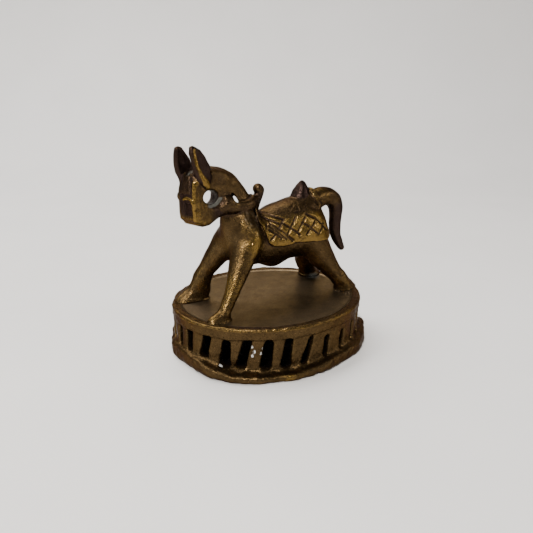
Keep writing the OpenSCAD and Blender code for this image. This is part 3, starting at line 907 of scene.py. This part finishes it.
BROWN = (0.054, 0.0330, 0.0135)
GOLD = (0.165, 0.100, 0.026)
DARK = (0.026, 0.0155, 0.0125)
GREY = (0.080, 0.079, 0.068)
FILLER = (0.52, 0.52, 0.50)
METALS = {
    "bronze": cast_bronze("bronze", BROWN, GOLD, DARK, GREY),
    "worn_bronze": cast_bronze("worn_bronze", BROWN, GOLD, DARK, GREY, 0.25),
    "dark_bronze": cast_bronze("dark_bronze", [c * 0.8 for c in BROWN], GOLD, DARK, GREY, 0.29, 0.8),
    "plate_bronze": cast_bronze("plate_bronze", (0.104, 0.074, 0.043), GOLD, DARK, GREY, 0.33, 0.35),
}
SLOT_OF = {part["node"]: part["material_slot"] for part in frame["record"]["subparts"]}


def blurred(grid, passes):
    for _ in range(passes):
        for axis in range(3):
            grid = (np.roll(grid, 1, axis) + np.roll(grid, -1, axis) + 2 * grid) * 0.25
    return grid


def spot(p, centre, radii, amount=1.0):
    """A soft patch on the surface."""
    away = (p - np.array(centre)) / np.array(radii)
    return amount * np.exp(-(away ** 2).sum(1))


def near_path(p, path, side):
    """1 on a ridge that runs through [x, y, z, radius] rows, falling to 0 past its width."""
    best = np.full(len(p), 9.0)
    for a, b in zip(path[:-1], path[1:]):
        a, b = (np.array([r[0], -side * r[1], r[2], r[3]]) for r in (a, b))
        run = (b - a)[:3]
        t = np.clip((p - a[:3]) @ run / (run @ run), 0, 1)
        gap = np.linalg.norm(p - a[:3] - t[:, None] * run, axis=1)
        best = np.minimum(best, gap - (a[3] + t * (b[3] - a[3])))
    return step_between(0.45, 0.05, best)


# How golden, dark and grey each piece is before its edges, its hollows with their painted shade, and its
# patches are added.
HORSE_TONES = {
    "horse_torso": (0.2, 0.1, 0.0), "horse_neck": (0.05, 0.2, 0.0), "horse_head": (0.1, 0.35, 0.0),
    "saddle_cloth": (0.42, 0.0, 0.0), "horse_tail": (0.0, 0.4, 0.0),
    "saddle_cantle": (0.0, 0.95, 0.0), "saddle_pommel": (0.05, 0.6, 0.0),
    "ear_left": (0.0, 0.85, 0.0), "ear_right": (0.0, 0.9, 0.0),
    "bridle_noseband": (0.7, 0.0, 0.0), "bridle_browband": (0.05, 0.65, 0.0),
    "bridle_cheek_left": (0.5, 0.1, 0.0), "bridle_cheek_right": (0.1, 0.5, 0.0),
    "bit_boss_right": (0.1, 0.3, 0.3), "girth_tab_left": (0.0, 0.1, 0.25),
    "girth_tab_right": (0.0, 0.1, 0.2), "rein_left": (0.05, 0.5, 0.0),
    "rein_right": (0.08, 0.5, 0.0), "crupper_strap": (0.1, 0.3, 0.0),
}
LEG_TONES = (0.1, 0.05, 0.0)
BASE_TONES = {
    "base_top_plate": (0.05, 0.0, 0.0), "base_rim_band": (0.12, 0.0, 0.0),
    "base_foot_ring": (0.16, 0.0, 0.0), "base_floor_plate": (0.0, 0.6, 0.0),
}
POST_TONES = (0.15, 0.0, 0.0)
# Pale residue round the far hind foot, measured from the plate.
RESIDUE = (30.8, 9.0, 0.3)
# Specks of pale filler: angle round the wall and depth below the plate.
SPECKS = [[213.5, 14.8], [214.6, 14.2], [213.8, 15.6], [229.5, 16.6], [231.6, 6.2], [233.2, 8.0],
          [232.0, 9.8], [237.8, 7.0], [236.6, 9.0], [227.0, 17.0]]
# Pieces that get a painted shadow along the raised edge of the saddle cloth.
PIECES_SHADED_BY_CLOTH = ("horse_torso", "foreleg_left", "girth_tab_left", "hindleg_left")
# Pieces that take the painted shade of the eye hole and the grey crescent below it.
ROUND_EYE = ("horse_head", "horse_neck", "rein_left", "rein_right")


def eye_tones(u, v, z):
    """The painted shade in and round the eye hole, and the grey crescent under it."""
    rim = eye_tunnel(u, v, z)
    hole = np.exp(-np.maximum(rim, 0) ** 2) * step_between(4.4, 2.6, np.abs(v))
    below = step_between(45.4, 43.8, z - 0.3 * (u + 28)) * step_between(-33.0, -31.0, u)
    ring = step_between(2.3, 1.3, rim) * step_between(0.05, 0.35, rim)
    return hole, ring * below * step_between(-2.2, -2.9, v)


def horse_tones(name, p, bulge, hollow):
    """How golden, dark, grey and pale each point of a horse piece is."""
    x, y, z = p.T
    worn, shade, grey = HORSE_TONES.get(name, LEG_TONES)
    edge = 0.35 if shade > 0.4 else 1.0
    worn = worn + 1.5 * edge * np.clip(bulge, -0.4, 0.3) * step_between(0.3, 2.0, z)
    # The golden spot on the near shoulder is partly wear and partly a painted highlight where the light
    # strikes the shoulder.
    worn = worn + spot(p, (-12, -9, 26), (5, 6, 7), 0.6) + spot(p, (-24, -12, 10), (6, 5, 10), 0.2)
    worn = worn + spot(p, (14, -9, 32), (9, 5, 5), 0.25) - spot(p, (4, 0, 39), (12, 6, 3), 0.35)
    # Painted shade: wide hollows such as the armpits and the belly's underside are darkened and made less
    # golden, like ambient occlusion. Small grooves are dark with patina.
    shade = shade - 1.2 * np.clip(bulge, -0.4, 0.3) + 0.8 * np.clip(hollow, 0, 0.7)
    worn = worn - 0.5 * np.clip(hollow, -0.5, 0.7)
    u, v = to_head(x, y)
    q = np.stack([u, v, z], 1)
    grey = grey + spot(q, (-36.6, -0.4, 55.6), (1.6, 1.3, 1.5), 0.9)
    if name == "horse_head":
        cheek = spot(q, (-33.5, -5, 42), (4.5, 3.5, 6.5)) + spot(q, (-34, 0, 35), (4, 5, 3))
        worn = worn + 0.22 * cheek
        shade = shade - 0.6 * cheek
        front = step_between(-35.0, -36.6, u) * step_between(-3.9, -3.0, v) * step_between(38.5, 40.5, z)
        back = step_between(-32.5, -28.5, u) * step_between(45.5, 42.0, z)
        shade, worn = shade + 0.5 * front + 0.4 * back, worn - 0.4 * front - 0.2 * back
    if name in ROUND_EYE:
        hole, crescent = eye_tones(u, v, z)
        # Painted shade inside and round the eye hole, with less gold there.
        shade, worn = shade + 0.6 * hole, worn - 0.5 * hole
        grey = grey + 0.75 * crescent
    if name in PIECES_SHADED_BY_CLOTH:
        # Painted shadow: a dark, less golden band beside the raised edge of the saddle cloth.
        under = np.exp(-(np.maximum(outline(x, z, CLOTH), 0) / 0.5) ** 2)
        shade, worn = shade + 0.8 * under, worn - 0.5 * under
    if name == "saddle_cloth":
        lines = [line_gap(x, z, a, b) for run in CLOTH_CUTS for a, b in zip(run[:-1], run[1:])]
        groove = np.exp(-(np.min(lines, axis=0) / 0.34) ** 2) * step_between(37.5, 34.5, z)
        top = step_between(33.0, 37.5, z)
        shade, worn = shade + 0.75 * groove + 0.4 * top, worn - 0.6 * groove - 0.5 * top
    if name == "horse_tail":
        shade = shade + 0.5 * step_between(29, 36, x) * step_between(40, 33, z)
        worn = worn + 0.3 * step_between(33, 24, x)
    if name == "hindleg_right":
        grey = grey + spot(p, RESIDUE, (3.6, 3.2, 1.8), 1.0)
    if name.startswith("ear"):
        on_ridge = near_path(q, EAR_RIDGE, 1 if name == "ear_left" else -1)
        worn, shade = worn + on_ridge, shade - on_ridge
    filler = spot(p, RESIDUE, (3.2, 2.8, 1.2), 0.45 * (name == "hindleg_right"))
    return np.stack([worn, shade, grey + 0 * worn, filler], 1)


def at_turn(turn, out=0.0):
    """The point on the wall's oval at an angle round it."""
    c = math.radians(turn)
    return (PLATE_A + out) * math.cos(c), (PLATE_B + out) * math.sin(c)


def base_tones(name, p, bulge, hollow):
    """How golden, dark, grey and pale each point of a base piece is."""
    x, y, z = p.T
    worn, shade, grey = BASE_TONES.get(name, POST_TONES)
    gap = oval_gap(x, y)
    inner = step_between(-1.4, -2.4, gap) * (z < PLATE - 1.0)
    worn = worn + 1.0 * np.clip(bulge, -0.4, 0.25) * (1 - inner) - inner * 0.5
    bead = np.exp(-((z - PLATE) / 0.7) ** 2) * step_between(-1.6, -0.6, gap)
    worn = worn + 0.3 * bead
    shade = shade - 1.0 * np.clip(bulge, -0.4, 0.25) + inner * 0.8 - 0.4 * bead
    # Painted shade in the wide hollows, weaker on the foot ring.
    shade = shade + (0.2 if name == "base_foot_ring" else 0.5) * np.clip(hollow, 0, 0.7)
    filler = sum(spot(p, (*at_turn(turn, -0.3), PLATE - down), (0.6, 0.6, 0.9))
                 for turn, down in SPECKS)
    if name == "base_foot_ring":
        worn = worn + spot(p, (*at_turn(252, 3.5), 2.0), (6, 3.5, 2.5), 0.35)
        # Painted light: outside the wall line the foot's ledge and lip are made lighter, to offset the
        # dark they take from the wall above them.
        shade = shade - 0.4 * step_between(-0.5, 0.5, gap)
    if name == "base_top_plate":
        residue = spot(p - (0, 0, PLATE), RESIDUE, (3.2, 3.0, 2), 1.0) * (z > PLATE - 0.6)
        grey = grey + residue
        filler = filler + 0.45 * residue
    return np.stack([worn, shade, grey + 0 * worn, filler], 1)


def build(cast, raise_by, tones):
    """One mesh for each piece of a casting, standing for the CAD node of the same name."""
    bulge = blurred(cast.total, 6) - cast.total
    every = 3
    # Wide-scale hollows: the tones darken them with painted shade, like ambient occlusion.
    coarse = cast.total[::every, ::every, ::every]
    hollow = coarse - blurred(coarse, 8)
    for name in cast.pieces:
        where, field = cast.solid(name)
        points, quads = surface_net(field)
        start = np.array([s.start for s in where])
        p = cast.low + cast.step * (start + points - 1)
        kind = SLOT_OF[name]
        obj = mesh_piece(name + "_cast", p + (0, 0, raise_by), quads, METALS[kind],
                         tones(name, p, cast.sample(bulge, p), cast.sample(hollow, p, every)))
        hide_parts(name)


build(make_horse(), PLATE, horse_tones)
build(make_base(), 0, base_tones)


# ---- room and camera -------------------------------------------------------------------------

def plain(name, colour, rough):
    s = Shader(name)
    weave = s.noise(3.0, 4.0, 0.6)
    s.put(s.mix(s.ramp(s.noise(90.0, 2.0), 0.3, 0.7), (*[c * 0.97 for c in colour], 1), (*colour, 1)),
          s.main.inputs["Base Color"])
    s.put(rough, s.main.inputs["Roughness"])
    s.put(s.node("ShaderNodeBump", {"Strength": 0.12, "Distance": 0.5 * MM, "Height": weave}).outputs[0],
          s.main.inputs["Normal"])
    return s.material


def add_floor():
    """A pale sheet that runs back level and then curves up into a wall."""
    start, bend = 330, 260
    profile = [(-1500, 0), (start, 0)]
    profile += [(start + bend * math.sin(t), bend - bend * math.cos(t))
                for t in np.radians(np.arange(6, 91, 6))]
    profile += [(start + bend, 1600)]
    away = Vector((0.55, 0.835, 0)).normalized()
    along = Vector((away.y, -away.x, 0))
    mesh = bpy.data.meshes.new("sheet")
    points, faces = [], []
    for d, h in profile:
        for side in (-1800, 1800):
            points.append((away * d + along * side) * MM + Vector((0, 0, (h - 0.05) * MM)))
    for i in range(len(profile) - 1):
        faces.append((2 * i, 2 * i + 1, 2 * i + 3, 2 * i + 2))
    mesh.from_pydata(points, [], faces)
    mesh.shade_smooth()
    mesh.materials.append(plain("sheet", (0.70, 0.683, 0.667), 0.75))
    obj = bpy.data.objects.new("sheet", mesh)
    bpy.context.scene.collection.objects.link(obj)


def area_light(name, place, size, power, colour=(1, 1, 1)):
    light = bpy.data.lights.new(name, "AREA")
    light.shape = "RECTANGLE"
    light.size, light.size_y = (v * MM for v in size)
    light.energy = power
    light.color = colour
    obj = bpy.data.objects.new(name, light)
    obj.location = Vector(place) * MM
    aim = Vector((0, 0, 35)) * MM - obj.location
    obj.rotation_euler = aim.to_track_quat("-Z", "Y").to_euler()
    bpy.context.scene.collection.objects.link(obj)


add_floor()
area_light("sky", (-60, 480, 840), (900, 600), 15.0, (1.0, 0.985, 0.965))
area_light("key", (-360, -380, 560), (50, 50), 7.0, (1.0, 0.97, 0.92))
area_light("left", (-800, 50, 300), (200, 200), 1.5, (0.95, 0.98, 1.0))
area_light("right", (650, -500, 360), (160, 160), 1.8, (1.0, 0.95, 0.9))

world = bpy.data.worlds.new("room")
world.use_nodes = True
world.node_tree.nodes["Background"].inputs["Color"].default_value = (0.95, 0.97, 1.0, 1)
world.node_tree.nodes["Background"].inputs["Strength"].default_value = 0.21
bpy.context.scene.world = world

camera = bpy.data.cameras.new("camera")
camera.lens = 36.07
camera.sensor_width = 36.0
camera.clip_start = 0.01
eye = bpy.data.objects.new("camera", camera)
eye.location = Vector((-117.0, -179.2, 100.3)) * MM
eye.rotation_euler = Vector((0.5189, 0.7990, -0.3039)).to_track_quat("-Z", "Y").to_euler()
bpy.context.scene.collection.objects.link(eye)
bpy.context.scene.camera = eye
